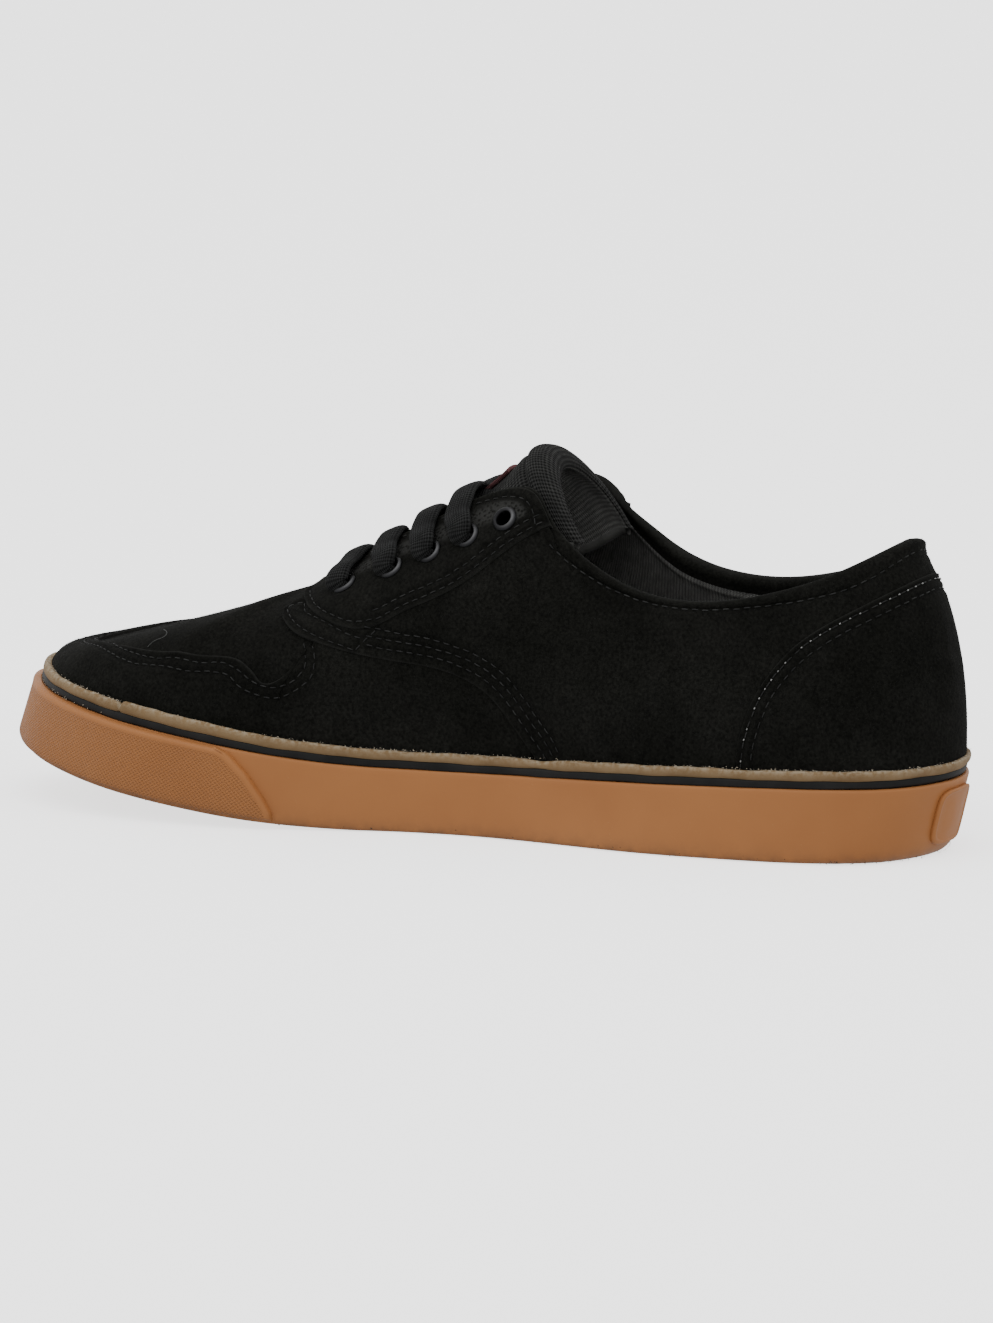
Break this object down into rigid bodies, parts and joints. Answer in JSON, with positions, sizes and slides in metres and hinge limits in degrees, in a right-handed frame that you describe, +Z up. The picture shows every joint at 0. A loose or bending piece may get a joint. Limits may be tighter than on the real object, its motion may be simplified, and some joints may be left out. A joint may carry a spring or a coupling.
{
  "type": "skateboarding shoe",
  "caption": "Low-cut skateboarding shoe, right foot: gum rubber cupsole with toe bumper, black suede panels, padded collar, mesh tongue and flat laces",
  "frame": {"origin": "centre of the bounding box in plan, on the floor", "axes": "+X to the toe, +Y to the inner side of the foot, +Z up"},
  "size_m": [0.299, 0.1098, 0.1076],
  "materials": {
    "gum_rubber": "smooth satin gum rubber",
    "black_rubber": "satin",
    "khaki_rubber": "matt",
    "black_suede": "brushed nap",
    "black_mesh": "open mesh",
    "insole_cloth": "woven",
    "lace_weave": "flat woven",
    "eyelet_metal": "dark"
  },
  "bodies": {
    "root": {"outsole": "gum_rubber", "foxing": "gum_rubber", "toe_bumper": "gum_rubber", "heel_badge": "gum_rubber", "pinstripe": "black_rubber", "welt_strip": "khaki_rubber", "upper": "black_suede", "toe_panel": "black_suede", "quarter_medial": "black_suede", "quarter_lateral": "black_suede", "eyestay_medial": "black_suede", "eyestay_lateral": "black_suede", "heel_counter": "black_suede", "tongue": "black_mesh", "insole": "insole_cloth", "eyelet_medial_1": "eyelet_metal", "eyelet_medial_2": "eyelet_metal", "eyelet_medial_3": "eyelet_metal", "eyelet_medial_4": "eyelet_metal", "eyelet_medial_5": "eyelet_metal", "eyelet_lateral_1": "eyelet_metal", "eyelet_lateral_2": "eyelet_metal", "eyelet_lateral_3": "eyelet_metal", "eyelet_lateral_4": "eyelet_metal", "eyelet_lateral_5": "eyelet_metal", "lace_bar": "lace_weave", "lace_crossing_1": "lace_weave", "lace_crossing_2": "lace_weave", "lace_crossing_3": "lace_weave"}
  },
  "joints": []
}
